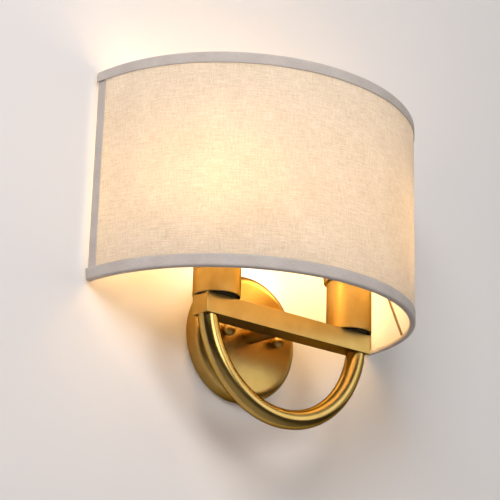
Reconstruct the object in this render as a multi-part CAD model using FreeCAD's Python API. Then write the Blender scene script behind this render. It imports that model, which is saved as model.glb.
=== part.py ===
import FreeCAD, Part
import math
import os

Vec = FreeCAD.Vector

# A two-lamp wall light: a half-drum fabric shade on two sockets, which stand on a square bar.
# A half ring hangs under the bar, and an arm holds the bar to a round plate on the wall.
# Millimetres. The wall is the plane Y = 0 and the light stands out along -Y, with +Z up and
# the origin at the centre of the back plate's wall face.

# ---- driving dimensions ----

# Back plate, a shallow dish with a soft front edge
plate_diameter = 120.0
plate_depth = 20.0
plate_wall = 1.5
plate_edge_radius = 9.0

# Wall bracket behind the plate
bracket_length = 106.0
bracket_width = 30.0
bracket_thickness = 2.0
bracket_wire_hole = 14.0
box_screw_spacing = 89.0
box_slot_length = 10.0
box_slot_width = 4.6

# Studs and ball cap nuts that hold the plate to the bracket
stud_spacing = 60.0
stud_diameter = 4.0
stud_hole_gap = 0.3
stud_nut_wall = 1.5
stud_nut_height = 3.0
ball_diameter = 12.0
ball_collar_wall = 1.5
ball_collar_height = 1.0
ball_thread_depth = 7.0

# Ground screw on the bracket
ground_screw_x = -18.0
ground_screw_diameter = 3.5
ground_head_diameter = 6.4
ground_head_height = 2.4

# Arm between the plate and the bar
arm_diameter = 16.0
arm_length = 38.3
arm_height = 1.0

# Hollow threaded nipples, their nuts and the washer behind the plate
nipple_diameter = 10.0
nipple_wall = 1.0
nipple_engagement = 12.0
nipple_tail = 1.0
nipple_nut_wall = 1.75
nipple_nut_height = 3.0
washer_width = 6.0
washer_thickness = 1.0

# Square bar
bar_length = 200.0
bar_depth = 21.0
bar_height = 18.5
bar_wall = 1.5

# Half ring under the bar, a bent tube
ring_tube_diameter = 18.0
ring_tube_wall = 1.2
ring_end_inset = 0.5
ring_centre_rise = 14.0

# Sockets
socket_spacing = 163.0
sleeve_wall = 1.0
sleeve_height = 48.25
sleeve_edge_radius = 0.8
holder_wall = 5.5
holder_foot_wall = 3.2
holder_foot_height = 34.0
holder_mouth_rise = 12.75
holder_nipple_depth = 9.0
shell_wall = 0.6
shell_rim_inset = 1.5
contact_diameter = 8.0
contact_height = 1.0

# Threaded rings that clamp the shade's fitter on each socket
lower_ring_width = 4.5
lower_ring_height = 5.0
upper_ring_width = 2.7
upper_ring_height = 6.0
ring_edge_radius = 1.5

# Bulbs
bulb_diameter = 60.0
bulb_length = 110.0
bulb_neck_overhang = 1.4
bulb_neck_height = 6.0
bulb_glass_wall = 1.0
bulb_cap_diameter = 26.2
bulb_cap_height = 25.0
bulb_cap_wall = 0.5
bulb_tip_diameter = 9.0
bulb_tip_height = 2.5
bulb_thread_count = 5
bulb_thread_depth = 0.7

# Shade: its plan is a flattened half oval of three tangent arcs
shade_width = 353.4
shade_depth = 164.0
shade_height = 201.8
shade_bottom = 19.2
shade_wall_gap = 2.3
oval_centre_behind_wall = 5.5
oval_front_half_angle = 38.0
fabric_thickness = 0.7
liner_thickness = 0.5
frame_wire_diameter = 2.5
trim_thickness = 0.6
trim_width = 11.0

# Fitter that carries the shade on the sockets
fitter_plate_width = 5.0
fitter_plate_thickness = 1.5
fitter_rod_diameter = 2.5
fitter_drop_run = 25.5
fitter_bend_radius = 10.0

# Insulated leads, their connectors and the earth lead
lead_diameter = 1.8
lead_spacing = 2.2
lead_bend_radius = 4.0
lead_turn_from_wall = 7.0
connector_from_centre = 20.0
connector_mouth_diameter = 11.0
connector_tip_diameter = 8.0
connector_length = 22.0
connector_bore_depth = 12.0
lead_in_connector = 8.0
earth_bend_radius = 2.5
earth_run_from_wall = 9.5

# Clearances
thread_gap = 0.05
seat_gap = 0.05
layer_gap = 0.1
hole_gap = 0.1
cap_gap = 0.5
sleeve_gap = 0.7
tip_gap = 0.3
weld_gap = 0.1
past = 5.0

# ---- derived places ----

plate_front_y = -plate_depth
bar_back_y = plate_front_y - arm_length
bar_y = bar_back_y - bar_depth / 2
bar_top = arm_height + bar_height / 2
bar_bottom = arm_height - bar_height / 2
socket_x = socket_spacing / 2
sleeve_top = bar_top + sleeve_height
fitter_z = sleeve_top + lower_ring_height
fitter_top = fitter_z + fitter_plate_thickness
holder_top = sleeve_top + holder_mouth_rise
bulb_bottom = holder_top + tip_gap - bulb_cap_height
cavity_floor = bulb_bottom - tip_gap - contact_height
shade_top = shade_bottom + shade_height

# Diameters of what stands round the bulb's cap, from the inside out
nipple_bore = nipple_diameter - 2 * nipple_wall
bulb_neck_diameter = bulb_cap_diameter + 2 * bulb_neck_overhang
shell_bore = bulb_cap_diameter + 2 * cap_gap
shell_diameter = shell_bore + 2 * shell_wall
holder_cavity_diameter = shell_diameter + 2 * layer_gap
holder_foot_diameter = holder_cavity_diameter + 2 * holder_foot_wall
holder_diameter = holder_cavity_diameter + 2 * holder_wall
sleeve_bore = holder_diameter + 2 * sleeve_gap
sleeve_diameter = sleeve_bore + 2 * sleeve_wall
lower_ring_diameter = holder_diameter + 2 * lower_ring_width
upper_ring_diameter = holder_diameter + 2 * upper_ring_width
fitter_plate_diameter = holder_diameter + 2 * fitter_plate_width

# Insets of the shade's layers from its outer face, which is the face of the trim
fabric_inset = trim_thickness + layer_gap
liner_inset = fabric_inset + fabric_thickness + layer_gap
wire_inset = liner_inset + liner_thickness + layer_gap + frame_wire_diameter / 2
hem_inset = wire_inset + frame_wire_diameter / 2 + layer_gap
hem_thickness = hem_inset + trim_thickness
wire_from_edge = trim_thickness + layer_gap + frame_wire_diameter / 2
hem_height = wire_from_edge + frame_wire_diameter / 2

# The oval's three arcs: the side arcs' centres, the front arc's centre and both radii
front_half_angle = math.radians(oval_front_half_angle)
oval_excess = shade_width / 2 - shade_depth - oval_centre_behind_wall
radius_step = oval_excess / (math.cos(front_half_angle) + math.sin(front_half_angle) - 1)
side_centre_x = radius_step * math.sin(front_half_angle)
side_centre_y = oval_centre_behind_wall
front_centre_y = side_centre_y + radius_step * math.cos(front_half_angle)
side_radius = shade_width / 2 - side_centre_x
front_radius = shade_depth + front_centre_y

UP = Vec(0, 0, 1)
OUT = Vec(0, -1, 0)
LEFT_RIGHT = (("left", -1), ("right", 1))
os.makedirs("parts", exist_ok=True)


# ---- shape helpers ----

def save(name, *solids):
    """Write one sub-part; several solids make a group of separate pieces."""
    shape = solids[0] if len(solids) == 1 else Part.makeCompound(list(solids))
    shape.exportStep("parts/" + name + ".step")


def placed(solid, base, direction):
    """Stand a solid made about +Z at a base point, along a direction."""
    solid.Placement = FreeCAD.Placement(base, FreeCAD.Rotation(UP, direction))
    return solid


def rod(diameter, length, base, direction):
    return Part.makeCylinder(diameter / 2, length, base, direction)


def tube(outer, inner, length, base, direction):
    core = rod(inner, length + 2 * past, base - direction * past, direction)
    return rod(outer, length, base, direction).cut(core)


def block(x_range, y_range, z_range):
    """A box between two values on each axis."""
    low = Vec(x_range[0], y_range[0], z_range[0])
    size = Vec(x_range[1], y_range[1], z_range[1]) - low
    return Part.makeBox(size.x, size.y, size.z, low)


def line(start, end):
    return Part.LineSegment(start, end).toShape()


def arc(start, middle, end):
    return Part.Arc(start, middle, end).toShape()


def closed_lines(points):
    return [line(points[i - 1], points[i]) for i in range(len(points))]


def turned(edges, base, direction):
    """Turn edges of the (radius, height) half plane, given as X and Z, about the axis."""
    face = Part.Face(Part.Wire(Part.sortEdges(edges)[0]))
    return placed(face.revolve(Vec(0, 0, 0), UP, 360), base, direction)


def turned_corners(corners, base, direction):
    return turned(closed_lines([Vec(r, 0, h) for r, h in corners]), base, direction)


def hex_nut(flats, height, bore, base, direction):
    """A six-sided nut with two corners on the X axis."""
    corner = flats / math.sqrt(3)
    turns = [math.radians(60 * i) for i in range(6)]
    points = [Vec(corner * math.cos(a), corner * math.sin(a), 0) for a in turns]
    prism = Part.Face(Part.Wire(closed_lines(points))).extrude(UP * height)
    return placed(prism.cut(rod(bore, height + 2 * past, UP * -past, UP)), base, direction)


def bent_path(points, radius):
    """Straight runs joined by tangent arcs at the inner points."""
    edges = []
    start = points[0]
    for before, corner, after in zip(points, points[1:], points[2:]):
        arriving = (corner - before).normalize()
        leaving = (after - corner).normalize()
        turn = arriving.getAngle(leaving)
        setback = radius * math.tan(turn / 2)
        arc_start = corner - arriving * setback
        arc_end = corner + leaving * setback
        inward = (leaving - arriving).normalize()
        bulge = radius / math.cos(turn / 2) - radius
        edges.append(line(start, arc_start))
        edges.append(arc(arc_start, corner + inward * bulge, arc_end))
        start = arc_end
    edges.append(line(start, points[-1]))
    return Part.Wire(edges)


def bent_rod(points, radius, diameter):
    """A round rod along a bent path."""
    path = bent_path(points, radius)
    section = Part.Wire(Part.makeCircle(diameter / 2, points[0], points[1] - points[0]))
    solid = path.makePipeShell([section], True, False)
    expected = math.pi * diameter * diameter / 4 * path.Length
    print("rod volume ratio", round(solid.Volume / expected, 4), "bend radius", radius)
    return solid


# ---- the shade's plan ----

def side_point(inset, angle, side, z):
    """A point of a side arc, at an angle from straight out of the wall."""
    radius = side_radius - inset
    x = side * (side_centre_x + radius * math.sin(angle))
    return Vec(x, side_centre_y - radius * math.cos(angle), z)


def side_angle_at(inset, y):
    """The angle at which a side arc crosses a plane of constant Y."""
    return math.acos((side_centre_y - y) / (side_radius - inset))


def front_y(inset, x):
    """The Y of the front arc at a given X."""
    return front_centre_y - math.sqrt((front_radius - inset) ** 2 - x * x)


def plan_arcs(inset, back_y, z):
    """The three arcs of the oval, moved in by an inset, ending on the plane Y = back_y."""
    end_angle = side_angle_at(inset, back_y)
    middle_angle = (end_angle + front_half_angle) / 2
    arcs = []
    for side in (-1, 1):
        joint = side_point(inset, front_half_angle, side, z)
        middle = side_point(inset, middle_angle, side, z)
        end = side_point(inset, end_angle, side, z)
        arcs.append(arc(end, middle, joint) if side < 0 else arc(joint, middle, end))
    joints = [side_point(inset, front_half_angle, side, z) for side in (-1, 1)]
    arcs.insert(1, arc(joints[0], Vec(0, front_y(inset, 0), z), joints[1]))
    return arcs


def drum(inset, back_y, z_low, z_high):
    """The solid half oval inside an inset."""
    arcs = plan_arcs(inset, back_y, z_low)
    ends = [side_point(inset, side_angle_at(inset, back_y), side, z_low) for side in (1, -1)]
    outline = Part.Wire(arcs + [line(ends[0], ends[1])])
    return Part.Face(outline).extrude(UP * (z_high - z_low))


def drum_wall(inset, thickness, back_y, z_low, z_high):
    """A curved wall between two insets."""
    hollow = drum(inset + thickness, back_y + past, z_low - past, z_high + past)
    return drum(inset, back_y, z_low, z_high).cut(hollow)


def along_plan(inset, back_y, z, diameter):
    """A round wire bent along the oval."""
    path = Part.Wire(plan_arcs(inset, back_y, z))
    start = path.Edges[0]
    tangent = start.tangentAt(start.FirstParameter)
    section = Part.Wire(Part.makeCircle(diameter / 2, path.Vertexes[0].Point, tangent))
    return path.makePipeShell([section], True, False)


# ---- wall side ----

def rounded_cup(radius, depth, edge_radius):
    """A disc with a rounded front edge, from the wall plane outwards."""
    inner = radius - edge_radius
    shoulder = depth - edge_radius
    quarter = edge_radius * math.sqrt(0.5)
    edges = [
        line(Vec(0, 0, 0), Vec(radius, 0, 0)),
        line(Vec(radius, 0, 0), Vec(radius, 0, shoulder)),
        arc(Vec(radius, 0, shoulder), Vec(inner + quarter, 0, shoulder + quarter), Vec(inner, 0, depth)),
        line(Vec(inner, 0, depth), Vec(0, 0, depth)),
        line(Vec(0, 0, depth), Vec(0, 0, 0)),
    ]
    return turned(edges, Vec(0, 0, 0), OUT)


def back_plate():
    outside = rounded_cup(plate_diameter / 2, plate_depth, plate_edge_radius)
    inside_edge = plate_edge_radius - plate_wall
    dish = rounded_cup(plate_diameter / 2 - plate_wall, plate_depth - plate_wall, inside_edge)
    plate = outside.cut(dish)
    hole = nipple_diameter + 2 * hole_gap
    plate = plate.cut(rod(hole, plate_depth + past, Vec(0, 0, arm_height), OUT))
    for _, side in LEFT_RIGHT:
        base = Vec(side * stud_spacing / 2, 0, 0)
        plate = plate.cut(rod(stud_diameter + 2 * stud_hole_gap, plate_depth + past, base, OUT))
    return plate


def slot(centre_x, length, width, depth):
    """A cutter for a slot along X, through a plate on the wall."""
    reach = (length - width) / 2
    cutter = block((centre_x - reach, centre_x + reach), (-depth - past, past), (-width / 2, width / 2))
    for end_x in (centre_x - reach, centre_x + reach):
        cutter = cutter.fuse(rod(width, depth + 2 * past, Vec(end_x, past, 0), OUT))
    return cutter


def wall_bracket():
    half_length = bracket_length / 2
    half_width = bracket_width / 2
    strap = block((-half_length, half_length), (-bracket_thickness, 0), (-half_width, half_width))
    corners = [edge for edge in strap.Edges if abs(edge.tangentAt(edge.FirstParameter).y) > 0.5]
    strap = strap.makeFillet(half_width / 2, corners)
    through = bracket_thickness + 2 * past
    strap = strap.cut(rod(bracket_wire_hole, through, Vec(0, past, 0), OUT))
    ground_hole = ground_screw_diameter + 2 * thread_gap
    strap = strap.cut(rod(ground_hole, through, Vec(ground_screw_x, past, 0), OUT))
    for _, side in LEFT_RIGHT:
        slot_x = side * box_screw_spacing / 2
        strap = strap.cut(slot(slot_x, box_slot_length, box_slot_width, bracket_thickness))
        stud_hole = stud_diameter + 2 * thread_gap
        strap = strap.cut(rod(stud_hole, through, Vec(side * stud_spacing / 2, past, 0), OUT))
    return strap


def ball_cap_nut(x):
    """A ball with a short collar against the plate and a blind threaded hole."""
    ball_radius = ball_diameter / 2
    collar_radius = stud_diameter / 2 + ball_collar_wall
    bore_radius = stud_diameter / 2 + thread_gap
    seat = math.sqrt(ball_radius ** 2 - collar_radius ** 2)
    centre = ball_collar_height + seat
    edges = [
        line(Vec(bore_radius, 0, 0), Vec(collar_radius, 0, 0)),
        line(Vec(collar_radius, 0, 0), Vec(collar_radius, 0, ball_collar_height)),
        arc(
            Vec(collar_radius, 0, ball_collar_height),
            Vec(ball_radius, 0, centre),
            Vec(0, 0, centre + ball_radius),
        ),
        line(Vec(0, 0, centre + ball_radius), Vec(0, 0, ball_thread_depth)),
        line(Vec(0, 0, ball_thread_depth), Vec(bore_radius, 0, ball_thread_depth)),
        line(Vec(bore_radius, 0, ball_thread_depth), Vec(bore_radius, 0, 0)),
    ]
    return turned(edges, Vec(x, plate_front_y - seat_gap, 0), OUT)


def ground_screw():
    base = Vec(ground_screw_x, 0, 0)
    shank = rod(ground_screw_diameter, bracket_thickness + past / 2, base, OUT)
    head_base = base + OUT * (bracket_thickness + seat_gap)
    return shank.fuse(rod(ground_head_diameter, ground_head_height, head_base, OUT)).removeSplitter()


stud_tip = plate_depth + ball_thread_depth - 1
stud_xs = [side * stud_spacing / 2 for _, side in LEFT_RIGHT]
save("back_plate", back_plate())
save("wall_bracket", wall_bracket())
save("mounting_studs", *[rod(stud_diameter, stud_tip, Vec(x, 0, 0), OUT) for x in stud_xs])
lock_nut_base = OUT * (bracket_thickness + seat_gap)
lock_nut_bore = stud_diameter + 2 * thread_gap
lock_nut_flats = stud_diameter + 2 * stud_nut_wall
save("stud_lock_nuts", *[
    hex_nut(lock_nut_flats, stud_nut_height, lock_nut_bore, Vec(x, 0, 0) + lock_nut_base, OUT)
    for x in stud_xs
])
save("ball_cap_nuts", *[ball_cap_nut(x) for x in stud_xs])
save("ground_screw", ground_screw())

# ---- arm and its nipples ----

arm_axis = Vec(0, 0, arm_height)
plate_inside = plate_depth - plate_wall
nut_seat = plate_inside - washer_thickness - seat_gap
nipple_inner_end = nut_seat - nipple_nut_height - seat_gap - nipple_tail
arm_bore = nipple_diameter + 2 * thread_gap
nut_bore = nipple_diameter + 2 * thread_gap
bar_room = bar_height - 2 * bar_wall
nut_flats = min(nipple_diameter + 2 * nipple_nut_wall, bar_room - 2 * tip_gap)
washer_diameter = nipple_diameter + 2 * washer_width

save("arm_tube", tube(arm_diameter, arm_bore, arm_length, arm_axis + OUT * plate_depth, OUT))
plate_nipple_length = plate_depth + nipple_engagement - nipple_inner_end
plate_nipple_base = arm_axis + OUT * nipple_inner_end
save("plate_nipple", tube(nipple_diameter, nipple_bore, plate_nipple_length, plate_nipple_base, OUT))
washer_base = arm_axis + OUT * (plate_inside - washer_thickness)
save("plate_washer", tube(washer_diameter, nut_bore, washer_thickness, washer_base, OUT))

nipple_stub = bar_wall + seat_gap + nipple_nut_height + nipple_tail
bar_nipple_base = Vec(0, bar_back_y + nipple_engagement, arm_height)
bar_nipple_length = nipple_engagement + nipple_stub
save("bar_nipple", tube(nipple_diameter, nipple_bore, bar_nipple_length, bar_nipple_base, OUT))


def nipple_nut(base, direction):
    return hex_nut(nut_flats, nipple_nut_height, nut_bore, base, direction)


socket_nut_z = bar_top - bar_wall - seat_gap
save(
    "nipple_nuts",
    nipple_nut(arm_axis + OUT * (nut_seat - nipple_nut_height), OUT),
    nipple_nut(Vec(0, bar_back_y - bar_wall - seat_gap, arm_height), OUT),
    *[nipple_nut(Vec(side * socket_x, bar_y, socket_nut_z), UP * -1) for _, side in LEFT_RIGHT],
)

# ---- bar and half ring ----

bar_y_range = (bar_y - bar_depth / 2, bar_y + bar_depth / 2)
bar_z_range = (bar_bottom, bar_top)
tube_half = bar_length / 2 - bar_wall


def lamp_bar():
    outside = block((-tube_half, tube_half), bar_y_range, bar_z_range)
    inside_y = (bar_y_range[0] + bar_wall, bar_y_range[1] - bar_wall)
    inside_z = (bar_bottom + bar_wall, bar_top - bar_wall)
    bar = outside.cut(block((-tube_half - past, tube_half + past), inside_y, inside_z))
    hole = nipple_diameter + 2 * hole_gap
    bar = bar.cut(rod(hole, bar_depth / 2, Vec(0, bar_back_y + past, arm_height), OUT))
    for _, side in LEFT_RIGHT:
        bar = bar.cut(rod(hole, bar_height / 2, Vec(side * socket_x, bar_y, arm_height), UP))
    return bar


def half_ring():
    """A bent tube whose ends stop on the bar's underside."""
    end_x = bar_length / 2 - ring_tube_diameter / 2 - ring_end_inset
    radius = math.hypot(end_x, ring_centre_rise)
    centre = Vec(0, bar_y, bar_bottom + ring_centre_rise)
    outer = Part.makeTorus(radius, ring_tube_diameter / 2, centre, OUT)
    bore = Part.makeTorus(radius, ring_tube_diameter / 2 - ring_tube_wall, centre, OUT)
    reach = bar_length
    below = block((-reach, reach), (bar_y - reach, bar_y + reach), (-reach, bar_bottom))
    return outer.cut(bore).common(below)


save("lamp_bar", lamp_bar())
for name, side in LEFT_RIGHT:
    cap_x = sorted((side * tube_half, side * bar_length / 2))
    save("bar_end_" + name, block(cap_x, bar_y_range, bar_z_range))
save("half_ring", half_ring())

# ---- sockets, clamp rings and bulbs ----


def lamp_holder(axis):
    """A socket body: a slim foot, a threaded rim, and the cavity that takes the bulb's cap."""
    rim = holder_diameter / 2
    foot = holder_foot_diameter / 2
    nipple_hole = nipple_diameter / 2 + thread_gap
    lead_hole = nipple_bore / 2
    cavity = holder_cavity_diameter / 2
    corners = [
        (nipple_hole, bar_top),
        (foot, bar_top),
        (foot, bar_top + holder_foot_height),
        (rim, bar_top + holder_foot_height),
        (rim, holder_top),
        (cavity, holder_top),
        (cavity, cavity_floor),
        (0, cavity_floor),
        (0, bar_top + 2 * holder_nipple_depth),
        (lead_hole, bar_top + 2 * holder_nipple_depth),
        (lead_hole, bar_top + holder_nipple_depth),
        (nipple_hole, bar_top + holder_nipple_depth),
    ]
    return turned_corners(corners, axis, UP)


def socket_sleeve(axis):
    """A plain socket cover with a soft lower edge."""
    inner = sleeve_bore / 2
    outer = sleeve_diameter / 2
    r = sleeve_edge_radius
    quarter = r * (1 - math.sqrt(0.5))
    edge_top = bar_top + r
    edge_middle = Vec(outer - quarter, 0, bar_top + quarter)
    edges = [
        line(Vec(inner, 0, bar_top), Vec(outer - r, 0, bar_top)),
        arc(Vec(outer - r, 0, bar_top), edge_middle, Vec(outer, 0, edge_top)),
        line(Vec(outer, 0, edge_top), Vec(outer, 0, sleeve_top)),
        line(Vec(outer, 0, sleeve_top), Vec(inner, 0, sleeve_top)),
        line(Vec(inner, 0, sleeve_top), Vec(inner, 0, bar_top)),
    ]
    return turned(edges, axis, UP)


def clamp_ring(axis, base, height, diameter):
    """A threaded ring with rounded outer edges."""
    inner = holder_diameter / 2 + thread_gap
    outer = diameter / 2
    r = ring_edge_radius
    quarter = r * (1 - math.sqrt(0.5))
    top = base + height
    edges = [
        line(Vec(inner, 0, base), Vec(outer - r, 0, base)),
        arc(Vec(outer - r, 0, base), Vec(outer - quarter, 0, base + quarter), Vec(outer, 0, base + r)),
        line(Vec(outer, 0, base + r), Vec(outer, 0, top - r)),
        arc(Vec(outer, 0, top - r), Vec(outer - quarter, 0, top - quarter), Vec(outer - r, 0, top)),
        line(Vec(outer - r, 0, top), Vec(inner, 0, top)),
        line(Vec(inner, 0, top), Vec(inner, 0, base)),
    ]
    return turned(edges, axis, UP)


def bulb_cap(axis):
    """The bulb's screw cap with its rolled thread, and the contact button below it."""
    crest = bulb_cap_diameter / 2
    root = crest - bulb_thread_depth
    low = bulb_bottom + bulb_tip_height
    high = bulb_bottom + bulb_cap_height
    pitch = (high - low) / (bulb_thread_count + 1)
    neck = bulb_neck_diameter / 2 - bulb_glass_wall - seat_gap
    corners = [(0, bulb_bottom), (bulb_tip_diameter / 2, bulb_bottom), (root, low)]
    for i in range(bulb_thread_count):
        middle = low + pitch * (i + 0.5)
        corners.append((crest, middle))
        corners.append((root, middle + pitch / 2))
    corners.append((root, high - pitch / 2))
    corners.append((min(crest, neck), high))
    corners.append((min(crest, neck) - bulb_cap_wall, high))
    corners.append((root - bulb_cap_wall, low + pitch / 2))
    corners.append((0, low + pitch / 2))
    return turned_corners(corners, axis, UP)


def bulb_outline(wall, foot_z):
    """Neck, flank and round head of the glass, moved in by a wall."""
    head = bulb_diameter / 2 - wall
    neck = bulb_neck_diameter / 2 - wall
    centre_z = bulb_bottom + bulb_length - bulb_diameter / 2
    neck_top = bulb_bottom + bulb_cap_height + bulb_neck_height
    distance = math.hypot(neck, centre_z - neck_top)
    bearing = math.atan2(neck, neck_top - centre_z)
    touch_angle = bearing - math.acos(head / distance)
    touch = Vec(head * math.sin(touch_angle), 0, centre_z + head * math.cos(touch_angle))
    half = touch_angle / 2
    middle = Vec(head * math.sin(half), 0, centre_z + head * math.cos(half))
    top = Vec(0, 0, centre_z + head)
    foot = Vec(neck, 0, foot_z)
    shoulder = Vec(neck, 0, neck_top)
    return [line(foot, shoulder), line(shoulder, touch), arc(touch, middle, top)], foot, top


def bulb_glass(axis):
    foot_z = bulb_bottom + bulb_cap_height + seat_gap
    outer_edges, outer_foot, outer_top = bulb_outline(0, foot_z)
    inner_edges, inner_foot, inner_top = bulb_outline(bulb_glass_wall, foot_z + bulb_glass_wall)
    floor = [line(Vec(0, 0, inner_foot.z), inner_foot)]
    axis_edges = [line(outer_top, inner_top), line(Vec(0, 0, inner_foot.z), Vec(0, 0, outer_foot.z))]
    closing = [line(Vec(0, 0, outer_foot.z), outer_foot)]
    return turned(outer_edges + inner_edges + floor + axis_edges + closing, axis, UP)


holder_nipple_base = bar_top - nipple_stub
holder_nipple_length = nipple_stub + holder_nipple_depth - seat_gap
shell_height = holder_top - shell_rim_inset - cavity_floor - contact_height
save("socket_nipples", *[
    tube(
        nipple_diameter, nipple_bore, holder_nipple_length,
        Vec(side * socket_x, bar_y, holder_nipple_base), UP,
    )
    for _, side in LEFT_RIGHT
])
for name, side in LEFT_RIGHT:
    axis = Vec(side * socket_x, bar_y, 0)
    save("socket_sleeve_" + name, socket_sleeve(axis))
    save("lamp_holder_" + name, lamp_holder(axis))
    shell_base = axis + UP * (cavity_floor + contact_height)
    shell = tube(shell_diameter, shell_bore, shell_height, shell_base, UP)
    save("screw_shell_" + name, shell)
    contact_base = axis + UP * cavity_floor
    save("centre_contact_" + name, rod(contact_diameter, contact_height, contact_base, UP))
    lower_ring = clamp_ring(axis, sleeve_top, lower_ring_height - seat_gap, lower_ring_diameter)
    save("lower_shade_ring_" + name, lower_ring)
    upper_ring = clamp_ring(axis, fitter_top + seat_gap, upper_ring_height, upper_ring_diameter)
    save("upper_shade_ring_" + name, upper_ring)
    save("bulb_cap_" + name, bulb_cap(axis))
    save("bulb_glass_" + name, bulb_glass(axis))

# ---- fitter: a plate on each socket, and rods to the shade's bottom wire ----

rod_z = fitter_top + fitter_rod_diameter / 2 + seat_gap
plate_hole = holder_diameter + 2 * hole_gap
rod_start = upper_ring_diameter / 2 + tip_gap
landing_z = shade_bottom + wire_from_edge + frame_wire_diameter / 2 + weld_gap


def drop_rod(centre, direction, landing):
    """A rod that lies on the fitter plate, runs out level and drops to the bottom wire."""
    start = centre + direction * rod_start
    reach = (landing - start).dot(direction)
    bend = start + direction * (reach - min(fitter_drop_run, reach / 2))
    tip = Vec(landing.x, landing.y, landing_z - fitter_rod_diameter)
    bent = bent_rod([start, bend, tip], fitter_bend_radius, fitter_rod_diameter)
    above_wire = block(
        (-shade_width, shade_width), (-shade_width, shade_width), (landing_z, landing_z + shade_height)
    )
    return bent.common(above_wire)


side_arms = []
front_arms = []
for name, side in LEFT_RIGHT:
    centre = Vec(side * socket_x, bar_y, rod_z)
    plate_base = Vec(side * socket_x, bar_y, fitter_z)
    ring_plate = tube(fitter_plate_diameter, plate_hole, fitter_plate_thickness, plate_base, UP)
    save("fitter_plate_" + name, ring_plate)
    side_landing = side_point(wire_inset, side_angle_at(wire_inset, bar_y), side, rod_z)
    side_arms.append(drop_rod(centre, Vec(side, 0, 0), side_landing))
    front_landing = Vec(side * socket_x, front_y(wire_inset, socket_x), rod_z)
    front_arms.append(drop_rod(centre, OUT, front_landing))
save("fitter_side_arms", *side_arms)
save("fitter_front_arms", *front_arms)
link_half = socket_x - rod_start
save("fitter_link", rod(fitter_rod_diameter, 2 * link_half, Vec(-link_half, bar_y, rod_z), Vec(1, 0, 0)))

# ---- shade: frame wires, liner, fabric and trim tape ----

cloth_back_y = -shade_wall_gap - trim_thickness - layer_gap
cloth_low = shade_bottom + trim_thickness + layer_gap
cloth_high = shade_top - trim_thickness - layer_gap
wire_low = shade_bottom + wire_from_edge
wire_high = shade_top - wire_from_edge


def rim_trim(z_edge, inward):
    """Tape folded round the shade's top or bottom edge and its frame wire."""
    def wall(inset, thickness, height):
        z_range = sorted((z_edge, z_edge + inward * height))
        return drum_wall(inset, thickness, -shade_wall_gap, z_range[0], z_range[1])
    outer = wall(0, trim_thickness, trim_width)
    fold = wall(0, hem_thickness, trim_thickness)
    inner = wall(hem_inset, trim_thickness, hem_height)
    return outer.fuse([fold, inner]).removeSplitter()


def side_trim(side):
    """Tape folded round one of the shade's upright back edges, between the rim tapes."""
    low = shade_bottom + trim_width + layer_gap
    high = shade_top - trim_width - layer_gap
    back = -shade_wall_gap
    strip = drum_wall(0, hem_thickness, back, low, high)
    cloth_thickness = hem_inset - trim_thickness
    cloth = drum_wall(trim_thickness, cloth_thickness, back - trim_thickness, low - past, high + past)
    half = sorted((0, side * shade_width))
    outer_flap = block(half, (back - trim_width, 0), (low, high))
    past_hem = block(half, (back - shade_depth, back - hem_height), (low, high))
    inside = drum(hem_inset - layer_gap, back + past, low, high)
    return strip.cut(cloth).common(outer_flap).cut(inside.common(past_hem))


def upright_wire(side):
    """The frame's upright wire inside a side trim, between the bottom and top wires."""
    y = cloth_back_y - frame_wire_diameter / 2
    foot = side_point(wire_inset, side_angle_at(wire_inset, y), side, landing_z)
    length = wire_high - frame_wire_diameter / 2 - weld_gap - landing_z
    return rod(frame_wire_diameter, length, foot, UP)


save("frame_wire_bottom", along_plan(wire_inset, cloth_back_y, wire_low, frame_wire_diameter))
save("frame_wire_top", along_plan(wire_inset, cloth_back_y, wire_high, frame_wire_diameter))
save("frame_wire_sides", *[upright_wire(side) for _, side in LEFT_RIGHT])
save("shade_liner", drum_wall(liner_inset, liner_thickness, cloth_back_y, cloth_low, cloth_high))
save("shade_fabric", drum_wall(fabric_inset, fabric_thickness, cloth_back_y, cloth_low, cloth_high))
save("trim_bottom", rim_trim(shade_bottom, 1))
save("trim_top", rim_trim(shade_top, -1))
for name, side in LEFT_RIGHT:
    save("trim_" + name, side_trim(side))

# ---- leads: two from each socket, through the bar and the arm, to the connectors ----

# The lower cores lie on the bottom of the arm's bore
offset = lead_spacing / 2
bore_reach = (nipple_bore - lead_diameter) / 2 - tip_gap
lead_z = arm_height + offset - math.sqrt(bore_reach ** 2 - offset ** 2)
lead_top = bar_top + 2 * holder_nipple_depth - lead_diameter


def lead(side, core):
    """One insulated core: down the nipple, along the bar, through the arm, to its connector."""
    y = bar_y + core * offset
    z = lead_z + core * offset
    x = side * offset
    route = [
        Vec(side * socket_x, y, lead_top),
        Vec(side * socket_x, y, z),
        Vec(x, y, z),
        Vec(x, -lead_turn_from_wall, z),
        Vec(x, -lead_turn_from_wall, core * (connector_from_centre + lead_in_connector)),
    ]
    return bent_rod(route, lead_bend_radius, lead_diameter)


def wire_connector(core):
    """A twist-on cap whose mouth faces the arm."""
    mouth = connector_mouth_diameter / 2
    tip = connector_tip_diameter / 2
    bore = (lead_spacing + lead_diameter) / 2 + hole_gap
    corners = [
        (bore, 0), (mouth, 0), (tip, connector_length), (0, connector_length),
        (0, connector_bore_depth), (bore, connector_bore_depth),
    ]
    base = Vec(0, -lead_turn_from_wall, core * connector_from_centre)
    return turned_corners(corners, base, UP * core)


def earth_lead():
    """A bare-ended lead from the ground screw to the washer behind the plate."""
    head_face = bracket_thickness + seat_gap + ground_head_height + weld_gap
    washer_x = -(nut_flats / math.sqrt(3) + lead_diameter / 2 + tip_gap)
    washer_face = plate_inside - washer_thickness - weld_gap
    route = [
        Vec(ground_screw_x, -head_face, 0),
        Vec(ground_screw_x, -earth_run_from_wall, 0),
        Vec(washer_x, -earth_run_from_wall, arm_height),
        Vec(washer_x, -washer_face, arm_height),
    ]
    return bent_rod(route, earth_bend_radius, lead_diameter)


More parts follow.
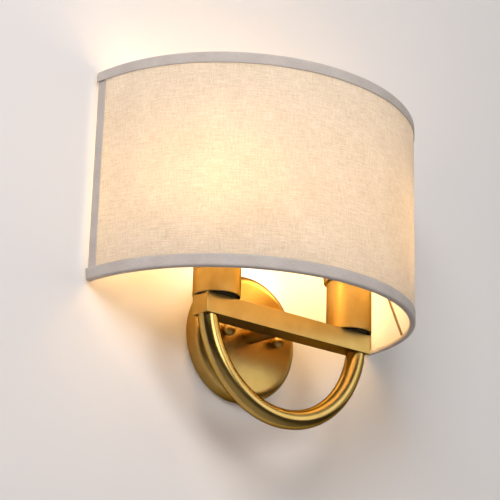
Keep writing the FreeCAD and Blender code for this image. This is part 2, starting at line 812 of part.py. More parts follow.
for name, side in LEFT_RIGHT:
    save("leads_" + name, lead(side, 1), lead(side, -1))
save("wire_connectors", wire_connector(1), wire_connector(-1))
save("earth_lead", earth_lead())
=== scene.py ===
import math

import bmesh
import bpy
from mathutils import Matrix, Vector, noise


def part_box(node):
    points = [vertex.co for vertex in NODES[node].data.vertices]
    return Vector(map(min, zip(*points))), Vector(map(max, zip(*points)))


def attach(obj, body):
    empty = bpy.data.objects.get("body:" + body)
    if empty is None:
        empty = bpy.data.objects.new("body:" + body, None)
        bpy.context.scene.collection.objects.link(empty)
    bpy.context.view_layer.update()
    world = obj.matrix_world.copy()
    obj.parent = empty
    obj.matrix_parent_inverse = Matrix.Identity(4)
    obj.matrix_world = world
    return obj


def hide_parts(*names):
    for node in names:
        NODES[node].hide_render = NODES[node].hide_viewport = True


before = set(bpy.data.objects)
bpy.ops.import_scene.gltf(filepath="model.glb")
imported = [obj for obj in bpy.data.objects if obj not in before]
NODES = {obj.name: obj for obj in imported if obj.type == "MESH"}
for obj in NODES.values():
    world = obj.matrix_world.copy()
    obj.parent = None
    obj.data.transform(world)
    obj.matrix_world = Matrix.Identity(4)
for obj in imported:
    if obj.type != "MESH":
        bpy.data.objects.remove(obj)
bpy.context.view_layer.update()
MM = 0.001
SIDES = (("left", -1), ("right", 1))

# ---- driving dimensions, in metres ----

# Camera, fitted to the photograph; its lens and sensor are in millimetres
CAMERA_PLACE = Vector((-0.97540, -1.16534, -0.42349))
CAMERA_RIGHT = Vector((0.756282, -0.653752, 0.025427))
CAMERA_UP = Vector((-0.228015, -0.226950, 0.946838))
CAMERA_LENS = 120.014
CAMERA_SENSOR = 36.0
CAMERA_NEAR = 50 * MM

# The shade's plan: a flattened half oval of three tangent arcs
SHADE_WIDTH = 353.4 * MM
SHADE_DEPTH = 164.0 * MM
OVAL_CENTRE_BEHIND_WALL = 5.5 * MM
FRONT_HALF_ANGLE = math.radians(38.0)

# The shade's layers, with insets from the outer face of the trim
LINEN_INSET = 0.75 * MM
LINING_INSET = 1.9 * MM
SIDE_TAPE_INSET = 0.2 * MM
TAPE_THICKNESS = 0.6 * MM
TAPE_WIDTH = 11.0 * MM
HEM_WIDTH = 5.9 * MM
HEM_HEIGHT = 3.4 * MM
HEM_ROUND = 2.2 * MM

# Where the rim tapes run over the side tapes and lift, mostly at their free edge
OVERLAP_RISE = 1.1 * MM
OVERLAP_START = TAPE_WIDTH + 5 * MM
OVERLAP_END = TAPE_WIDTH - 2 * MM
OUTER_FACE_LIFT = 0.3
FREE_EDGE_LIFT = 0.7

# Small unevenness of the cloth, with the lengths over which it comes and goes
LINEN_SWELL = 0.06 * MM
SLUB_LENGTH = 9 * MM
SLUB_WIDTH = 1.1 * MM
TAPE_WANDER = 0.22 * MM
TAPE_WANDER_LENGTH = 21 * MM
TAPE_WANDER_START = 2 * MM
TAPE_RIPPLE = 0.07 * MM
TAPE_RIPPLE_LENGTH = 6 * MM
TAPE_RIPPLE_WIDTH = 5 * MM

# Fineness of the cloth meshes
SHEET_STEP = 1.4 * MM
TAPE_STEP = 1.5 * MM
PROFILE_STEP = 2.0 * MM
CORNER_STEPS = 4
CORNER_SHARE_OF_RUN = 0.49
TAPE_END_ROUND = 0.8

# Thread pitches
LINEN_THREAD = 0.62 * MM
TAPE_THREAD = 0.34 * MM

# Softened edges of metal pieces
BAR_EDGE = 0.35 * MM
THIN_EDGE = 0.25 * MM
WELD_REACH = 0.01 * MM
SHARP_ANGLE = math.radians(40)

# ---- the shade's plan ----

oval_excess = SHADE_WIDTH / 2 - SHADE_DEPTH - OVAL_CENTRE_BEHIND_WALL
radius_step = oval_excess / (math.cos(FRONT_HALF_ANGLE) + math.sin(FRONT_HALF_ANGLE) - 1)
SIDE_CENTRE = Vector((radius_step * math.sin(FRONT_HALF_ANGLE), OVAL_CENTRE_BEHIND_WALL))
FRONT_CENTRE_Y = OVAL_CENTRE_BEHIND_WALL + radius_step * math.cos(FRONT_HALF_ANGLE)
SIDE_RADIUS = SHADE_WIDTH / 2 - SIDE_CENTRE.x
FRONT_RADIUS = SHADE_DEPTH + FRONT_CENTRE_Y
SHADE_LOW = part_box("trim_bottom")[0].z
SHADE_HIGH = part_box("trim_top")[1].z
SHADE_MIDDLE = (SHADE_LOW + SHADE_HIGH) / 2
SHADE_BACK_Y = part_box("trim_left")[1].y
CLOTH_BACK_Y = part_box("shade_fabric")[1].y
CLOTH_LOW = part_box("shade_fabric")[0].z
CLOTH_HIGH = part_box("shade_fabric")[1].z
GLASS_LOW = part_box("bulb_glass_left")[0].z
GLASS_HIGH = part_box("bulb_glass_left")[1].z


def plan_point(inset, turn, z):
    """A point of the oval moved in by an inset, where its outward side has turned from straight out."""
    if abs(turn) <= FRONT_HALF_ANGLE:
        radius = FRONT_RADIUS - inset
        return Vector((radius * math.sin(turn), FRONT_CENTRE_Y - radius * math.cos(turn), z))
    side = math.copysign(1, turn)
    radius = SIDE_RADIUS - inset
    x = side * SIDE_CENTRE.x + radius * math.sin(turn)
    return Vector((x, SIDE_CENTRE.y - radius * math.cos(turn), z))


def end_turn(inset, y):
    """The turn at which the oval crosses a plane of constant Y."""
    return math.acos((SIDE_CENTRE.y - y) / (SIDE_RADIUS - inset))


def arc_length(turn):
    """The length along the oval from its middle, at the outer face."""
    front = min(abs(turn), FRONT_HALF_ANGLE)
    side = max(abs(turn) - FRONT_HALF_ANGLE, 0)
    return math.copysign(FRONT_RADIUS * front + SIDE_RADIUS * side, turn)


def turn_at(length):
    """The turn at a length along the oval from its middle."""
    front_end = FRONT_RADIUS * FRONT_HALF_ANGLE
    if abs(length) <= front_end:
        return length / FRONT_RADIUS
    return math.copysign(FRONT_HALF_ANGLE + (abs(length) - front_end) / SIDE_RADIUS, length)


def even_turns(half_length, step):
    """Turns spaced evenly along the oval, from the left end to the right."""
    count = 2 * math.ceil(half_length / step)
    return [turn_at(half_length * (2 * i / count - 1)) for i in range(count + 1)]


# ---- mesh helpers ----


def linked(name, data):
    """A new object in the scene."""
    made = bpy.data.objects.new(name, data)
    bpy.context.scene.collection.objects.link(made)
    return made


def ride_on(piece):
    """Fixes a made piece to the light."""
    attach(piece, "light")


def new_mesh(name, rows, uvs, material, solid=False):
    """A skin through rows of points; the rows of a solid close on themselves and its ends are capped."""
    bm = bmesh.new()
    layer = bm.loops.layers.uv.new("UVMap")
    made = [[bm.verts.new(p) for p in row] for row in rows]
    width = len(rows[0])
    last = width if solid else width - 1
    for i in range(len(made) - 1):
        for j in range(last):
            k = (j + 1) % width
            corners = ((i, j), (i, k), (i + 1, k), (i + 1, j))
            face = bm.faces.new([made[a][b] for a, b in corners])
            face.smooth = True
            for loop, (a, b) in zip(face.loops, corners):
                loop[layer].uv = uvs[a][b]
    if solid:
        bm.faces.new(made[0][::-1])
        bm.faces.new(made[-1])
    bmesh.ops.recalc_face_normals(bm, faces=bm.faces)
    mesh = bpy.data.meshes.new(name)
    bm.to_mesh(mesh)
    bm.free()
    mesh.materials.append(material)
    return linked(name, mesh)


# ---- material helpers ----

# Nearly all values of a noise lie between these
NOISE_LOW = 0.3
NOISE_HIGH = 0.7


class Tree:
    """The nodes of a material or a world, with short calls to add and join them."""

    def __init__(self, owner):
        owner.use_nodes = True
        self.owner = owner
        self.tree = owner.node_tree
        self.tree.nodes.clear()
        kind = "World" if isinstance(owner, bpy.types.World) else "Material"
        self.out = self.tree.nodes.new("ShaderNodeOutput" + kind)

    def set(self, socket, value):
        """Joins another node's output to a socket, or gives the socket a value."""
        if isinstance(value, bpy.types.NodeSocket):
            self.tree.links.new(value, socket)
        else:
            socket.default_value = value

    def add(self, kind, inputs=None, **settings):
        """A new node with its settings and inputs."""
        node = self.tree.nodes.new("ShaderNode" + kind)
        for key, value in settings.items():
            setattr(node, key, value)
        for key, value in (inputs or {}).items():
            self.set(node.inputs[key], value)
        return node

    def coordinates(self, kind):
        return self.add("TexCoord").outputs[kind]

    def calculate(self, operation, a, b=0.0):
        return self.add("Math", {0: a, 1: b}, operation=operation).outputs[0]

    def sum(self, a, b):
        return self.calculate("ADD", a, b)

    def product(self, a, b):
        return self.calculate("MULTIPLY", a, b)

    def split(self, vector):
        return self.add("SeparateXYZ", {0: vector}).outputs

    def scaled(self, vector, factors):
        return self.add("VectorMath", {0: vector, 1: factors}, operation="MULTIPLY").outputs[0]

    def noise(self, vector, scale, detail, roughness):
        inputs = {"Vector": vector, "Scale": scale, "Detail": detail, "Roughness": roughness}
        return self.add("TexNoise", inputs).outputs[0]

    def threads(self, vector, along, across, detail, roughness):
        """A noise drawn out into threads, with a scale each way."""
        return self.noise(self.scaled(vector, (along, across, 0.0)), 1.0, detail, roughness)

    def mapped(self, value, low, high, to_low, to_high):
        values = {0: value, 1: low, 2: high, 3: to_low, 4: to_high}
        return self.add("MapRange", values).outputs[0]

    def share(self, value, low=NOISE_LOW, high=NOISE_HIGH):
        """A noise spread over 0 to 1."""
        return self.mapped(value, low, high, 0.0, 1.0)

    def around(self, middle, value, reach, low=NOISE_LOW, high=NOISE_HIGH):
        """A noise spread to both sides of a middle value."""
        return self.mapped(value, low, high, middle - reach, middle + reach)

    def mix(self, factor, a, b):
        """A colour between two."""
        node = self.add("Mix", {0: factor, 6: a, 7: b}, data_type="RGBA")
        return node.outputs[2]

    def blend(self, factor, a, b):
        """A shader between two."""
        return self.add("MixShader", {0: factor, 1: a, 2: b}).outputs[0]

    def shader(self, kind, inputs=None):
        return self.add(kind, inputs).outputs[0]

    def bump(self, height, strength, depth):
        return self.add("Bump", {"Strength": strength, "Distance": depth, "Height": height}).outputs[0]

    def finish(self, surface):
        """The material or world, which now has this surface."""
        self.set(self.out.inputs["Surface"], surface)
        return self.owner


def material_tree(name):
    return Tree(bpy.data.materials.new(name))


def colour(r, g, b):
    return (r, g, b, 1.0)


def darkened(base, share):
    return colour(*(share * c for c in base[:3]))


# ---- materials ----

BRASS = colour(0.54, 0.357, 0.113)
BRASS_DEEP = colour(0.48, 0.312, 0.090)
BRASS_EDGE = colour(0.07, 0.055, 0.045)
BRASS_ROUGHNESS = {"level": 0.31, "upright": 0.45, "turned": 0.30, "bent": 0.215}
GRAIN_STRETCH = 0.02


def brushed_lines(t, place, grain):
    """Coordinates for the grain: level lines, turned rings or lines along a bent tube."""
    if grain in ("level", "upright"):
        return t.scaled(place, (GRAIN_STRETCH, GRAIN_STRETCH, 1.0))
    x, y, z = t.split(place)
    across = t.add("CombineXYZ", {0: x, 2: z}).outputs[0]
    radius = t.add("VectorMath", {0: across}, operation="LENGTH").outputs["Value"]
    along = y if grain == "bent" else 0.0
    return t.add("CombineXYZ", {0: radius, 1: along}).outputs[0]


def brass(grain):
    """Satin aged gold with a fine brushed grain."""
    t = material_tree("satin_brass_" + grain)
    place = t.coordinates("Object")
    fine = t.noise(brushed_lines(t, place, grain), scale=5200.0, detail=3.0, roughness=0.6)
    broad = t.noise(place, scale=38.0, detail=3.0, roughness=0.55)
    broad_roughness = t.around(BRASS_ROUGHNESS[grain], broad, reach=0.015)
    fine_roughness = t.around(0.0, fine, reach=0.03)
    surface = t.shader("BsdfPrincipled", {
        "Base Color": t.mix(t.share(broad, low=0.35, high=0.65), BRASS, BRASS_DEEP),
        "Metallic": 1.0,
        "Roughness": t.sum(broad_roughness, fine_roughness),
        "Specular Tint": BRASS_EDGE,
        "Normal": t.bump(fine, strength=0.12, depth=0.03 * MM),
    })
    return t.finish(surface)


def plain_metal(name, base, roughness, scale):
    """Metal with faint clouds in its tone and gloss."""
    t = material_tree(name)
    cloud = t.noise(t.coordinates("Object"), scale, detail=4.0, roughness=0.6)
    surface = t.shader("BsdfPrincipled", {
        "Base Color": t.mix(t.share(cloud), darkened(base, 0.82), base),
        "Metallic": 1.0,
        "Roughness": t.around(roughness, cloud, reach=0.06),
        "Normal": t.bump(cloud, strength=0.1, depth=0.03 * MM),
    })
    return t.finish(surface)


def moulded(name, base, roughness, scale):
    """Moulded plastic or lacquer with a faint fine texture."""
    t = material_tree(name)
    cloud = t.noise(t.coordinates("Object"), scale, detail=4.0, roughness=0.6)
    surface = t.shader("BsdfPrincipled", {
        "Base Color": t.mix(t.share(cloud), darkened(base, 0.86), base),
        "Roughness": t.around(roughness, cloud, reach=0.05),
        "Normal": t.bump(cloud, strength=0.15, depth=0.04 * MM),
    })
    return t.finish(surface)


def woven(t, place, pitch):
    """The height of a plain weave, with a thread each way every pitch."""
    waves = [t.calculate("SINE", t.product(axis, math.pi / pitch)) for axis in t.split(place)[:2]]
    return t.product(*waves)


LINEN_PALE = colour(0.92, 0.80, 0.635)
LINEN_DEEP = colour(0.70, 0.58, 0.43)
LINEN_PALE_THROUGH = colour(1.0, 0.985, 1.0)
LINEN_DEEP_THROUGH = colour(0.73, 0.69, 0.67)
LINEN_THROUGH = 0.5

# How much the slubs count in the linen's tone and height, and the threads' tone in the tape's height
SLUBS_IN_TONE = 0.6
SLUBS_IN_HEIGHT = 0.8
TAPE_TONE_IN_HEIGHT = 0.6


def linen():
    """Oatmeal linen that glows when lit from behind: a plain weave with slubs both ways."""
    t = material_tree("shade_linen")
    place = t.coordinates("UV")
    level_slub = t.threads(place, along=70.0, across=900.0, detail=2.0, roughness=0.65)
    upright_slub = t.threads(place, along=900.0, across=90.0, detail=2.0, roughness=0.65)
    speck = t.threads(place, along=520.0, across=900.0, detail=2.0, roughness=0.7)
    broad = t.noise(place, scale=26.0, detail=2.0, roughness=0.5)
    level_tone = t.around(0.0, level_slub, reach=1.0, low=0.35, high=0.68)
    upright_tone = t.around(0.0, upright_slub, reach=0.8, low=0.36, high=0.68)
    slubs = t.sum(level_tone, upright_tone)
    speck_tone = t.around(0.0, speck, reach=0.55, low=0.34, high=0.66)
    broad_tone = t.around(0.0, broad, reach=0.25)
    tone = t.sum(t.sum(t.product(slubs, SLUBS_IN_TONE), speck_tone), broad_tone)
    shade = t.share(tone, low=-1.2, high=1.2)
    height = t.sum(woven(t, place, LINEN_THREAD), t.product(slubs, SLUBS_IN_HEIGHT))
    normal = t.bump(height, strength=0.35, depth=0.12 * MM)
    cloth = t.shader("BsdfPrincipled", {
        "Base Color": t.mix(shade, LINEN_PALE, LINEN_DEEP),
        "Roughness": 0.92,
        "Specular IOR Level": 0.25,
        "Sheen Weight": 0.15,
        "Sheen Roughness": 0.5,
        "Normal": normal,
    })
    through = t.mix(shade, LINEN_PALE_THROUGH, LINEN_DEEP_THROUGH)
    glow = t.shader("BsdfTranslucent", {"Color": through, "Normal": normal})
    return t.finish(t.blend(LINEN_THROUGH, cloth, glow))


LINING_WHITE = colour(0.95, 0.94, 0.91)
LINING_CREAM = colour(0.91, 0.90, 0.86)
LINING_THROUGH = 0.27


def lining():
    """White translucent film inside the linen."""
    t = material_tree("shade_lining")
    cloud = t.noise(t.coordinates("UV"), scale=60.0, detail=3.0, roughness=0.6)
    base = t.mix(t.share(cloud), LINING_WHITE, LINING_CREAM)
    film = t.shader("BsdfPrincipled", {
        "Base Color": base,
        "Roughness": 0.55,
        "Normal": t.bump(cloud, strength=0.1, depth=0.1 * MM),
    })
    glow = t.shader("BsdfTranslucent", {"Color": base})
    return t.finish(t.blend(LINING_THROUGH, film, glow))


TAPE_PALE = colour(0.63, 0.575, 0.54)
TAPE_DEEP = colour(0.44, 0.39, 0.36)


def tape():
    """Grey taupe tape with a fine close weave."""
    t = material_tree("trim_tape")
    place = t.coordinates("UV")
    level = t.threads(place, along=160.0, across=2600.0, detail=3.0, roughness=0.6)
    upright = t.threads(place, along=2600.0, across=420.0, detail=2.0, roughness=0.6)
    broad = t.noise(place, scale=45.0, detail=2.0, roughness=0.5)
    thread_tone = t.sum(t.around(0.0, level, reach=0.5), t.around(0.0, upright, reach=0.4))
    tone = t.sum(thread_tone, t.around(0.0, broad, reach=0.3))
    height = t.sum(woven(t, place, TAPE_THREAD), t.product(tone, TAPE_TONE_IN_HEIGHT))
    surface = t.shader("BsdfPrincipled", {
        "Base Color": t.mix(t.share(tone, low=-1.0, high=1.0), TAPE_PALE, TAPE_DEEP),
        "Roughness": 0.85,
        "Specular IOR Level": 0.3,
        "Sheen Weight": 0.1,
        "Normal": t.bump(height, strength=0.3, depth=0.1 * MM),
    })
    return t.finish(surface)


GLASS_PALE = colour(0.96, 0.95, 0.92)
GLASS_FROST = colour(0.90, 0.89, 0.86)
BULB_COLOUR = colour(1.0, 0.60, 0.20)
BULB_STRENGTH_LOW = 15.0
BULB_STRENGTH_HIGH = 6.0


def frosted_glass():
    """Frosted glass, lit from inside and brightest towards its neck."""
    t = material_tree("frosted_glass")
    place = t.coordinates("Object")
    height = t.split(place)[2]
    glow = t.mapped(height, GLASS_LOW, GLASS_HIGH, BULB_STRENGTH_LOW, BULB_STRENGTH_HIGH)
    frost = t.noise(place, scale=900.0, detail=3.0, roughness=0.6)
    surface = t.shader("BsdfPrincipled", {
        "Base Color": t.mix(t.share(frost), GLASS_FROST, GLASS_PALE),
        "Roughness": t.around(0.375, frost, reach=0.075),
        "Emission Color": BULB_COLOUR,
        "Emission Strength": glow,
    })
    return t.finish(surface)


FINISHES = {
    brass("level"): ("lamp_bar", "bar_end_left", "bar_end_right"),
    brass("upright"): (
        "socket_sleeve_left", "socket_sleeve_right", "lower_shade_ring_left", "lower_shade_ring_right",
        "upper_shade_ring_left", "upper_shade_ring_right",
    ),
    brass("turned"): ("back_plate", "arm_tube", "ball_cap_nuts"),
    brass("bent"): ("half_ring",),
    plain_metal("zinc_steel", colour(0.62, 0.63, 0.65), roughness=0.34, scale=260.0): (
        "wall_bracket", "mounting_studs", "stud_lock_nuts", "plate_nipple", "bar_nipple",
        "socket_nipples", "nipple_nuts", "plate_washer",
    ),
    plain_metal("frame_wire", colour(0.62, 0.46, 0.24), roughness=0.34, scale=300.0): (
        "frame_wire_bottom", "frame_wire_top", "frame_wire_sides", "fitter_side_arms",
        "fitter_front_arms", "fitter_link", "fitter_plate_left", "fitter_plate_right",
    ),
    plain_metal("contact_brass", colour(0.80, 0.62, 0.28), roughness=0.28, scale=240.0): (
        "screw_shell_left", "screw_shell_right", "centre_contact_left", "centre_contact_right",
    ),
    plain_metal("bulb_cap_metal", colour(0.78, 0.78, 0.76), roughness=0.30, scale=240.0): (
        "bulb_cap_left", "bulb_cap_right",
    ),
    moulded("holder_phenolic", colour(0.035, 0.032, 0.03), roughness=0.38, scale=500.0): (
        "lamp_holder_left", "lamp_holder_right",
    ),
    moulded("lead_insulation", colour(0.86, 0.86, 0.83), roughness=0.42, scale=400.0): (
        "leads_left", "leads_right",
    ),
    moulded("connector_plastic", colour(0.80, 0.36, 0.05), roughness=0.34, scale=300.0): (
        "wire_connectors",
    ),
    moulded("earth_green", colour(0.13, 0.42, 0.09), roughness=0.42, scale=400.0): (
        "earth_lead",
    ),
    moulded("ground_screw_green", colour(0.06, 0.30, 0.09), roughness=0.3, scale=400.0): (
        "ground_screw",
    ),
    frosted_glass(): ("bulb_glass_left", "bulb_glass_right"),
}
for finish_material, names in FINISHES.items():
    for node_name in names:
        NODES[node_name].material_slots[0].material = finish_material
linen_cloth = linen()
lining_film = lining()
tape_cloth = tape()

# ---- softened edges of the metal pieces ----


def soften(node_name, width):
    """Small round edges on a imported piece, as its real one has."""
    piece = NODES[node_name]
    weld = piece.modifiers.new("join", "WELD")
    weld.merge_threshold = WELD_REACH
    bevel = piece.modifiers.new("edges", "BEVEL")
    bevel.width = width
    bevel.segments = 2
    bevel.limit_method = "ANGLE"
    bevel.angle_limit = SHARP_ANGLE
    bevel.use_clamp_overlap = True
    piece.modifiers.new("normals", "WEIGHTED_NORMAL")


soften("lamp_bar", BAR_EDGE)
soften("arm_tube", THIN_EDGE)
for side_name, _ in SIDES:
    soften("bar_end_" + side_name, BAR_EDGE)
    soften("socket_sleeve_" + side_name, THIN_EDGE)
    soften("fitter_plate_" + side_name, THIN_EDGE)

# ---- linen and lining ----


def sheet(name, inset, material, swell):
    """A sheet stretched round the shade, its edges inside the hems, with its flat length and height."""
    half = arc_length(end_turn(inset, CLOTH_BACK_Y))
    height = CLOTH_HIGH - CLOTH_LOW
    count = math.ceil(height / SHEET_STEP)
    levels = [CLOTH_LOW + height * j / count for j in range(count + 1)]
    rows = []
    uvs = []
    for turn in even_turns(half, SHEET_STEP):
        length = arc_length(turn)
        row = []
        for z in levels:
            place = Vector((length / SLUB_LENGTH, z / SLUB_WIDTH, inset / MM))
            row.append(plan_point(inset - swell * noise.noise(place), turn, z))
        rows.append(row)
        uvs.append([(length, z) for z in levels])
    piece = new_mesh(name, rows, uvs, material)
    return piece, 2 * half, height


linen_sheet, linen_length, linen_height = sheet(
    "shade_linen", LINEN_INSET, linen_cloth, swell=LINEN_SWELL
)
lining_sheet, lining_length, lining_height = sheet(
    "shade_lining", LINING_INSET, lining_film, swell=0.0
)
ride_on(linen_sheet)
ride_on(lining_sheet)
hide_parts("shade_fabric")
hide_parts("shade_liner")

# ---- trim tape ----


def rounded_corners(points, radius):
    """A line through points, with each inner corner rounded."""
    out = [points[0]]
    for before, corner, after in zip(points, points[1:], points[2:]):
        arriving = corner - before
        leaving = after - corner
        setback = min(radius, arriving.length * CORNER_SHARE_OF_RUN, leaving.length * CORNER_SHARE_OF_RUN)
        start = corner - arriving.normalized() * setback
        end = corner + leaving.normalized() * setback
        for i in range(CORNER_STEPS + 1):
            s = i / CORNER_STEPS
            out.append(start.lerp(corner, s).lerp(corner.lerp(end, s), s))
    out.append(points[-1])
    return out


def divided(line, step):
    """A line with points added so that none of its runs is longer than a step."""
    out = [line[0]]
    for a, b in zip(line, line[1:]):
        count = max(1, math.ceil((b - a).length / step))
        out += [a.lerp(b, i / count) for i in range(1, count + 1)]
    return out


def thick_profile(line, thickness):
    """A closed outline round an open line, with rounded ends."""
    last = len(line) - 1
    sideways = []
    for i in range(len(line)):
        tangent = (line[min(i + 1, last)] - line[max(i - 1, 0)]).normalized()
        sideways.append(Vector((-tangent.y, tangent.x)) * thickness / 2)
    left = [point + offset for point, offset in zip(line, sideways)]
    right = [point - offset for point, offset in zip(line, sideways)]
    past_end = thickness / 2 * TAPE_END_ROUND
    start_cap = line[0] - (line[1] - line[0]).normalized() * past_end
    end_cap = line[-1] + (line[-1] - line[-2]).normalized() * past_end
    return left + [end_cap] + right[::-1] + [start_cap]


def folded_profile(outer_inset):
    """The tape's section round an edge, as pairs of inset and reach, and the length to each along it."""
    outer = outer_inset + TAPE_THICKNESS / 2
    edge = TAPE_THICKNESS / 2
    inner = HEM_WIDTH - TAPE_THICKNESS / 2
    fold = [
        Vector((outer, TAPE_WIDTH)),
        Vector((outer, edge)),
        Vector((inner, edge)),
        Vector((inner, HEM_HEIGHT)),
    ]
    line = divided(rounded_corners(fold, HEM_ROUND), PROFILE_STEP)
    profile = thick_profile(line, TAPE_THICKNESS)
    lengths = [0.0]
    for a, b in zip(profile, profile[1:]):
        lengths.append(lengths[-1] + (b - a).length)
    return profile, lengths


def smooth_step(low, high, value):
    """0 at the low value and 1 at the high one, with a soft start and end."""
    s = min(1.0, max(0.0, (value - low) / (high - low)))
    return s * s * (3 - 2 * s)


def outer_share(inset):
    """1 on the tape's outer face, and 0 from the middle of the hem inwards."""
    return smooth_step(HEM_WIDTH / 2, 0, inset)


def free_share(inset, reach):
    """1 at the free edge of the outer face, and 0 at the fold."""
    return smooth_step(TAPE_WANDER_START, TAPE_WIDTH, reach) * outer_share(inset)


def wander(length, seed, second_seed):
    """How far the free edge strays from its line."""
    return TAPE_WANDER * noise.noise(Vector((length / TAPE_WANDER_LENGTH, seed, second_seed)))


def tape_strip(name, rows, uvs):
    """A strip of tape on the light."""
    strip = new_mesh(name, rows, uvs, tape_cloth, solid=True)
    ride_on(strip)
    return strip


def rim_tape(name, edge_z, inward, seed):
    """Tape folded round the rim and its wire; it rises over the side tape at each end."""
    profile, lengths = folded_profile(outer_inset=0.0)
    outer_end = end_turn(0, SHADE_BACK_Y)
    half = arc_length(outer_end)
    rows = []
    uvs = []
    for turn in even_turns(half, TAPE_STEP):
        length = arc_length(turn)
        over_side = smooth_step(OVERLAP_START, OVERLAP_END, half - abs(length))
        row = []
        for inset, reach in profile:
            outer = outer_share(inset)
            free = free_share(inset, reach)
            ripple_place = Vector((length / TAPE_RIPPLE_LENGTH, seed, reach / TAPE_RIPPLE_WIDTH))
            ripple = TAPE_RIPPLE * noise.noise(ripple_place)
            lift = OUTER_FACE_LIFT * outer + FREE_EDGE_LIFT * free
            rise = OVERLAP_RISE * over_side * lift + ripple * outer
            strayed = reach + wander(length, seed, second_seed=0.3) * free
            scaled_turn = turn * end_turn(inset, SHADE_BACK_Y) / outer_end
            row.append(plan_point(inset - rise, scaled_turn, edge_z + inward * strayed))
        rows.append(row)
        uvs.append([(length, v) for v in lengths])
    return tape_strip(name, rows, uvs)


def side_tape(name, side):
    """Tape folded round an upright back edge and its wire, with its ends under the rim tapes."""
    profile, lengths = folded_profile(outer_inset=SIDE_TAPE_INSET)
    low = SHADE_LOW + 2 * TAPE_THICKNESS
    high = SHADE_HIGH - 2 * TAPE_THICKNESS
    count = math.ceil((high - low) / TAPE_STEP)
    rows = []
    uvs = []
    for i in range(count + 1):
        z = low + (high - low) * i / count
        row = []
        for inset, reach in profile:
            strayed = reach + wander(z, seed=side * 3.1, second_seed=1.7) * free_share(inset, reach)
            turn = end_turn(inset, SHADE_BACK_Y) - strayed / (SIDE_RADIUS - inset)
            row.append(plan_point(inset, side * turn, z))
        rows.append(row)
        uvs.append([(z, v) for v in lengths])
    return tape_strip(name, rows, uvs)


tapes = [
    rim_tape("tape_bottom", SHADE_LOW, inward=1, seed=2.2),
    rim_tape("tape_top", SHADE_HIGH, inward=-1, seed=7.4),
]
tapes += [side_tape("tape_" + side_name, side) for side_name, side in SIDES]
for strip in tapes:
    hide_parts(strip.name.replace("tape", "trim"))

# ---- wall, floor and surround ----

WALL_SIZE = 7.0
WALL_BEHIND = 0.3 * MM
WALL_PAINT = colour(0.80, 0.775, 0.775)
FLOOR_DROP = 1.9
FLOOR_SIZE = 60.0
FLOOR_PAINT = colour(0.56, 0.55, 0.54)
SURROUND = colour(0.90, 0.895, 0.89)

# Strengths of the surround: in the picture, at its dimmest in metal and glass, and as a light
SURROUND_PALE = 0.6
SURROUND_DIM = 0.02
SURROUND_LIGHT = 0.03

# The floor's glow in the picture, which adds nothing as a light
FLOOR_GLOW = 0.45

# In metal and glass, the surround and the floor's glow fade to dim towards the side that the photograph
# was taken from, between these cosines of the angle to that side
PHOTOGRAPH_SIDE = CAMERA_PLACE.normalized()
SKY_FADE = (-0.05, 0.50)
FLOOR_FADE = (-0.95, -0.35)


def one_sided_wall():
    """A pale wall, painted on its room side only and clear from behind."""
    t = material_tree("stage_wall")
    paint = t.shader("BsdfDiffuse", {"Color": WALL_PAINT})
    behind = t.add("NewGeometry").outputs["Backfacing"]
    return t.finish(t.blend(behind, paint, t.shader("BsdfTransparent")))


def shown_strength(t, direction, fade, pale, dim, unseen):
    """Pale in the picture, faded in metal and glass, and a set strength as a light."""
    facing = t.add("VectorMath", {0: direction, 1: PHOTOGRAPH_SIDE}, operation="DOT_PRODUCT")
    values = {0: facing.outputs["Value"], 1: fade[0], 2: fade[1], 3: pale, 4: dim}
    faded = t.add("MapRange", values, interpolation_type="SMOOTHSTEP").outputs[0]
    path = t.add("LightPath").outputs
    reflected = t.calculate("MAXIMUM", path["Is Glossy Ray"], path["Is Transmission Ray"])
    in_metal = t.add("Mix", {0: reflected, 2: unseen, 3: faded}).outputs[0]
    return t.add("Mix", {0: path["Is Camera Ray"], 2: in_metal, 3: pale}).outputs[0]


def pale_floor():
    """A pale matte floor that keeps the object's shadow."""
    t = material_tree("stage_floor")
    paint = t.shader("BsdfDiffuse", {"Color": FLOOR_PAINT})
    place = t.add("NewGeometry").outputs["Position"]
    direction = t.add("VectorMath", {0: place}, operation="NORMALIZE").outputs[0]
    strength = shown_strength(t, direction, FLOOR_FADE, pale=FLOOR_GLOW, dim=0.0, unseen=0.0)
    glow = t.shader("Emission", {"Color": SURROUND, "Strength": strength})
    return t.finish(t.add("AddShader", {0: paint, 1: glow}).outputs[0])


def studio_world():
    """A pale surround that hardly lights the object."""
    t = Tree(bpy.data.worlds.new("world"))
    direction = t.coordinates("Generated")
    strength = shown_strength(
        t, direction, SKY_FADE, pale=SURROUND_PALE, dim=SURROUND_DIM, unseen=SURROUND_LIGHT
    )
    return t.finish(t.shader("Background", {"Color": SURROUND, "Strength": strength}))


def stage_plane(name, size, place, turn, material):
    """A square of the stage."""
    mesh = bpy.data.meshes.new(name)
    h = size / 2
    mesh.from_pydata([(-h, -h, 0), (h, -h, 0), (h, h, 0), (-h, h, 0)], [], [(0, 1, 2, 3)])
    mesh.materials.append(material)
    piece = linked(name, mesh)
    piece.matrix_world = Matrix.Translation(place) @ turn
    return piece


upright = Matrix.Rotation(math.radians(90), 4, "X")
wall = stage_plane("stage_wall", WALL_SIZE, (0, WALL_BEHIND, 0), upright, one_sided_wall())
wall.visible_shadow = False
stage_plane("stage_floor", FLOOR_SIZE, (0, 0, -FLOOR_DROP), Matrix.Identity(4), pale_floor())
bpy.context.scene.world = studio_world()

# ---- camera ----

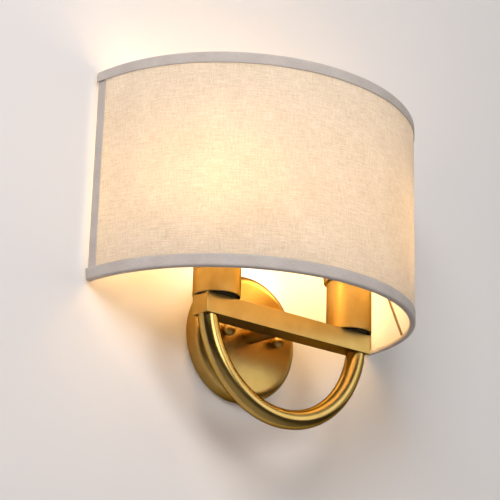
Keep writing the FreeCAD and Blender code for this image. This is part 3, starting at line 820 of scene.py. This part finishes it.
camera_data = bpy.data.cameras.new("camera")
camera_data.lens = CAMERA_LENS
camera_data.sensor_width = CAMERA_SENSOR
camera_data.clip_start = CAMERA_NEAR
camera = linked("camera", camera_data)
camera_axes = Matrix((CAMERA_RIGHT, CAMERA_UP, CAMERA_RIGHT.cross(CAMERA_UP))).transposed()
camera.matrix_world = Matrix.Translation(CAMERA_PLACE) @ camera_axes.to_4x4()
bpy.context.scene.camera = camera
bpy.context.scene.view_settings.view_transform = "Standard"

# ---- lamps ----

OBJECT_CENTRE = (0, -0.08, 0.06)


def soft_light(name, place, target, size, power, tint=(1, 1, 1)):
    """A square lamp aimed at a point."""
    data = bpy.data.lights.new(name, "AREA")
    data.shape = "SQUARE"
    data.size = size
    data.energy = power
    data.color = tint
    light = linked(name, data)
    light.location = place
    aim = Vector(target) - Vector(place)
    light.rotation_euler = aim.to_track_quat("-Z", "Y").to_euler()
    return light


def inner_light(name, place, target, width, height, power, tint, spread=180):
    """A small lamp inside the shade that adds to the bulbs' light on the wall and isn't seen itself."""
    light = soft_light(name, place, target, width, power, tint)
    light.data.shape = "RECTANGLE"
    light.data.size_y = height
    light.data.spread = math.radians(spread)
    light.visible_camera = False
    light.visible_glossy = False


soft_light("key", (-1.5, -1.6, 1.2), OBJECT_CENTRE, size=1.2, power=46.0, tint=(1.0, 0.97, 0.96))
soft_light("front", (0.0, -2.6, 0.2), OBJECT_CENTRE, size=1.2, power=18.0, tint=(1.0, 0.96, 0.90))
soft_light("fill", (1.4, -1.9, 0.5), OBJECT_CENTRE, size=1.2, power=6.0, tint=(0.93, 0.97, 1.0))
soft_light("rear", (0.3, 1.6, 0.8), OBJECT_CENTRE, size=1.2, power=8.0)

for side_name, side in SIDES:
    inner_light(
        "edge_" + side_name,
        place=(side * 110 * MM, -18 * MM, SHADE_MIDDLE), target=(side * 180 * MM, 0, SHADE_MIDDLE),
        width=10 * MM, height=175 * MM, power=0.021, tint=(1.0, 0.81, 0.43), spread=60,
    )
    inner_light(
        "above_" + side_name,
        place=(side * 100 * MM, -35 * MM, SHADE_HIGH - 20 * MM),
        target=(side * 170 * MM, 0, SHADE_HIGH + 60 * MM),
        width=60 * MM, height=20 * MM, power=0.006, tint=(1.0, 0.80, 0.66), spread=90,
    )
inner_light(
    "between", place=(0, -35 * MM, 45 * MM), target=(0, 0, 35 * MM),
    width=50 * MM, height=30 * MM, power=0.08, tint=(0.60, 0.75, 1.0),
)
inner_light(
    "below", place=(0, -45 * MM, 30 * MM), target=(0, 0, -60 * MM),
    width=200 * MM, height=30 * MM, power=0.022, tint=(1.0, 0.68, 0.34),
)
